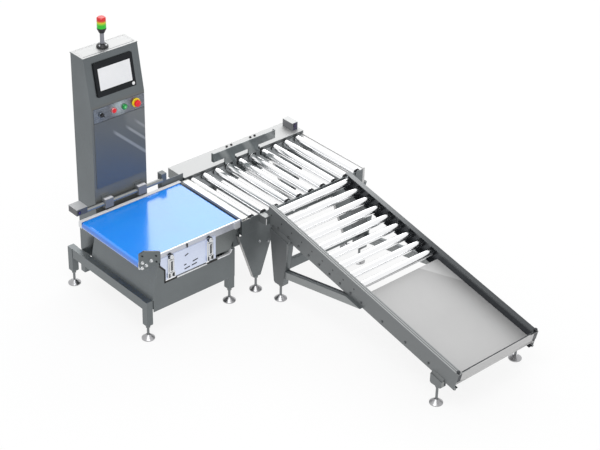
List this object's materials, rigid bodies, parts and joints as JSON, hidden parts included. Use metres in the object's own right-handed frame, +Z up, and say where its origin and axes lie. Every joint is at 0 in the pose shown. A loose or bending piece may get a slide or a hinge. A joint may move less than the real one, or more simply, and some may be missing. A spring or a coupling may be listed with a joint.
{
  "type": "checkweigher",
  "caption": "In-line checkweigher: belt weigh conveyor with control column, powered roller section with a cross pusher, and a gravity roller chute for rejects.",
  "frame": {"origin": "floor contact point of the levelling foot at the infeed end, front side", "axes": "+X is the flow direction over belt and rollers, -Y is the side the chute leaves by, +Z up"},
  "size_m": [1.8615, 2.5362, 1.784],
  "materials": {
    "amber_lens": "tinted ribbed lens",
    "bare_aluminium": "bright anodised",
    "belt": "smooth glossy blue belt",
    "black_plastic": "black, fine grain",
    "brushed_steel": "fine brushed, satin",
    "dark_bracket": "dark grey",
    "gear_plastic": "grey moulded",
    "green_lens": "tinted ribbed lens",
    "green_plastic": "glossy green",
    "polished_steel": "polished stainless steel",
    "red_lens": "tinted ribbed lens",
    "red_plastic": "glossy red",
    "roller_steel": "ground and polished tube",
    "screen_glass": "glossy screen",
    "sensor_housing": "dark grey, satin",
    "tray_steel": "satin sheet"
  },
  "bodies": {
    "machine": {"cabinet_shell": "brushed_steel", "chute_frame": "brushed_steel", "chute_supports": "brushed_steel", "chute_tray": "tray_steel", "control_collars": "bare_aluminium", "control_gear": "gear_plastic", "control_panel": "brushed_steel", "conveyor_belt": "belt", "conveyor_case": "brushed_steel", "conveyor_frame": "bare_aluminium", "drive_cover": "bare_aluminium", "drive_motor": "black_plastic", "drum_brackets": "dark_bracket", "frame_panels": "brushed_steel", "hmi_housing": "black_plastic", "hmi_screen": "screen_glass", "lamp_amber": "amber_lens", "lamp_green": "green_lens", "lamp_red": "red_lens", "levelling_feet": "polished_steel", "load_cell": "bare_aluminium", "photo_sensors": "sensor_housing", "pusher_guides": "polished_steel", "rear_cover": "brushed_steel", "rod_brackets": "brushed_steel", "rod_clamps": "polished_steel", "roller_frame": "brushed_steel", "section_legs": "brushed_steel", "stack_mount": "black_plastic", "tie_rod": "polished_steel", "weigh_frame": "brushed_steel"},
    "tail_drum": {"tail_drum": "polished_steel"},
    "drive_drum": {"drive_drum": "polished_steel"},
    "cabinet_door": {"cabinet_door": "brushed_steel"},
    "stop_button": {"stop_button": "red_plastic"},
    "start_button": {"start_button": "green_plastic"},
    "estop_button": {"estop_button": "red_plastic"},
    "selector_knob": {"selector_knob": "black_plastic"},
    "pusher": {"pusher_blade": "brushed_steel", "pusher_arms": "brushed_steel", "pusher_carriage": "brushed_steel"},
    "roller_01": {"roller_01": "roller_steel"},
    "roller_02": {"roller_02": "roller_steel"},
    "roller_03": {"roller_03": "roller_steel"},
    "roller_04": {"roller_04": "roller_steel"},
    "roller_05": {"roller_05": "roller_steel"},
    "roller_06": {"roller_06": "roller_steel"},
    "roller_07": {"roller_07": "roller_steel"},
    "roller_08": {"roller_08": "roller_steel"},
    "roller_09": {"roller_09": "roller_steel"},
    "roller_10": {"roller_10": "roller_steel"},
    "chute_roller_1": {"chute_roller_1": "roller_steel"},
    "chute_roller_2": {"chute_roller_2": "roller_steel"},
    "chute_roller_3": {"chute_roller_3": "roller_steel"},
    "chute_roller_4": {"chute_roller_4": "roller_steel"},
    "chute_roller_5": {"chute_roller_5": "roller_steel"},
    "chute_roller_6": {"chute_roller_6": "roller_steel"},
    "chute_roller_7": {"chute_roller_7": "roller_steel"},
    "chute_roller_8": {"chute_roller_8": "roller_steel"},
    "chute_roller_9": {"chute_roller_9": "roller_steel"}
  },
  "joints": [
    {"name": "drive_drum_spin", "type": "hinge", "parent": "machine", "child": "drive_drum", "pos_m": [0.674, 0.275, 0.552], "axis": [0, 1, 0], "continuous": true},
    {"name": "tail_drum_spin", "type": "hinge", "parent": "machine", "child": "tail_drum", "pos_m": [-0.043, 0.275, 0.552], "axis": [0, 1, 0], "continuous": true},
    {"name": "roller_01_spin", "type": "hinge", "parent": "machine", "child": "roller_01", "pos_m": [0.798, 0.281, 0.548], "axis": [0, 1, 0], "continuous": true},
    {"name": "roller_02_spin", "type": "hinge", "parent": "machine", "child": "roller_02", "pos_m": [0.897, 0.281, 0.548], "axis": [0, 1, 0], "continuous": true},
    {"name": "roller_03_spin", "type": "hinge", "parent": "machine", "child": "roller_03", "pos_m": [0.996, 0.281, 0.548], "axis": [0, 1, 0], "continuous": true},
    {"name": "roller_04_spin", "type": "hinge", "parent": "machine", "child": "roller_04", "pos_m": [1.095, 0.281, 0.548], "axis": [0, 1, 0], "continuous": true},
    {"name": "roller_05_spin", "type": "hinge", "parent": "machine", "child": "roller_05", "pos_m": [1.194, 0.281, 0.548], "axis": [0, 1, 0], "continuous": true},
    {"name": "roller_06_spin", "type": "hinge", "parent": "machine", "child": "roller_06", "pos_m": [1.293, 0.281, 0.548], "axis": [0, 1, 0], "continuous": true},
    {"name": "roller_07_spin", "type": "hinge", "parent": "machine", "child": "roller_07", "pos_m": [1.392, 0.281, 0.548], "axis": [0, 1, 0], "continuous": true},
    {"name": "roller_08_spin", "type": "hinge", "parent": "machine", "child": "roller_08", "pos_m": [1.491, 0.281, 0.548], "axis": [0, 1, 0], "continuous": true},
    {"name": "roller_09_spin", "type": "hinge", "parent": "machine", "child": "roller_09", "pos_m": [1.59, 0.281, 0.548], "axis": [0, 1, 0], "continuous": true},
    {"name": "roller_10_spin", "type": "hinge", "parent": "machine", "child": "roller_10", "pos_m": [1.689, 0.281, 0.548], "axis": [0, 1, 0], "continuous": true},
    {"name": "chute_roller_1_spin", "type": "hinge", "parent": "machine", "child": "chute_roller_1", "pos_m": [1.2345, -0.089, 0.567], "axis": [1, 0, 0], "continuous": true},
    {"name": "chute_roller_2_spin", "type": "hinge", "parent": "machine", "child": "chute_roller_2", "pos_m": [1.2345, -0.18333, 0.54764], "axis": [1, 0, 0], "continuous": true},
    {"name": "chute_roller_3_spin", "type": "hinge", "parent": "machine", "child": "chute_roller_3", "pos_m": [1.2345, -0.27767, 0.52827], "axis": [1, 0, 0], "continuous": true},
    {"name": "chute_roller_4_spin", "type": "hinge", "parent": "machine", "child": "chute_roller_4", "pos_m": [1.2345, -0.372, 0.50891], "axis": [1, 0, 0], "continuous": true},
    {"name": "chute_roller_5_spin", "type": "hinge", "parent": "machine", "child": "chute_roller_5", "pos_m": [1.2345, -0.46633, 0.48955], "axis": [1, 0, 0], "continuous": true},
    {"name": "chute_roller_6_spin", "type": "hinge", "parent": "machine", "child": "chute_roller_6", "pos_m": [1.2345, -0.56066, 0.47018], "axis": [1, 0, 0], "continuous": true},
    {"name": "chute_roller_7_spin", "type": "hinge", "parent": "machine", "child": "chute_roller_7", "pos_m": [1.2345, -0.655, 0.45082], "axis": [1, 0, 0], "continuous": true},
    {"name": "chute_roller_8_spin", "type": "hinge", "parent": "machine", "child": "chute_roller_8", "pos_m": [1.2345, -0.74933, 0.43145], "axis": [1, 0, 0], "continuous": true},
    {"name": "chute_roller_9_spin", "type": "hinge", "parent": "machine", "child": "chute_roller_9", "pos_m": [1.2345, -0.84366, 0.41209], "axis": [1, 0, 0], "continuous": true},
    {"name": "pusher_slide", "type": "slide", "parent": "machine", "child": "pusher", "axis": [0, -1, 0], "range_m": [0, 0.52]},
    {"name": "stop_button_press", "type": "slide", "parent": "machine", "child": "stop_button", "axis": [0, 1, 0], "range_m": [0, 0.005], "stiffness_N_per_m": 400},
    {"name": "start_button_press", "type": "slide", "parent": "machine", "child": "start_button", "axis": [0, 1, 0], "range_m": [0, 0.005], "stiffness_N_per_m": 400},
    {"name": "estop_press", "type": "slide", "parent": "machine", "child": "estop_button", "axis": [0, 1, 0], "range_m": [0, 0.005], "stiffness_N_per_m": 800},
    {"name": "selector_turn", "type": "hinge", "parent": "machine", "child": "selector_knob", "pos_m": [0.152, 0.617, 1.225], "axis": [0, -1, 0], "range_deg": [-90, 0]},
    {"name": "door_swing", "type": "hinge", "parent": "machine", "child": "cabinet_door", "pos_m": [0.4695, 0.6177, 0.95], "axis": [0, 0, 1], "range_deg": [0, 100]}
  ],
  "couplings": [
    {"joint": "tail_drum_spin", "follows": "drive_drum_spin", "ratio": 1},
    {"joint": "roller_02_spin", "follows": "roller_01_spin", "ratio": 1},
    {"joint": "roller_03_spin", "follows": "roller_01_spin", "ratio": 1},
    {"joint": "roller_04_spin", "follows": "roller_01_spin", "ratio": 1},
    {"joint": "roller_05_spin", "follows": "roller_01_spin", "ratio": 1},
    {"joint": "roller_06_spin", "follows": "roller_01_spin", "ratio": 1},
    {"joint": "roller_07_spin", "follows": "roller_01_spin", "ratio": 1},
    {"joint": "roller_08_spin", "follows": "roller_01_spin", "ratio": 1},
    {"joint": "roller_09_spin", "follows": "roller_01_spin", "ratio": 1},
    {"joint": "roller_10_spin", "follows": "roller_01_spin", "ratio": 1}
  ]
}
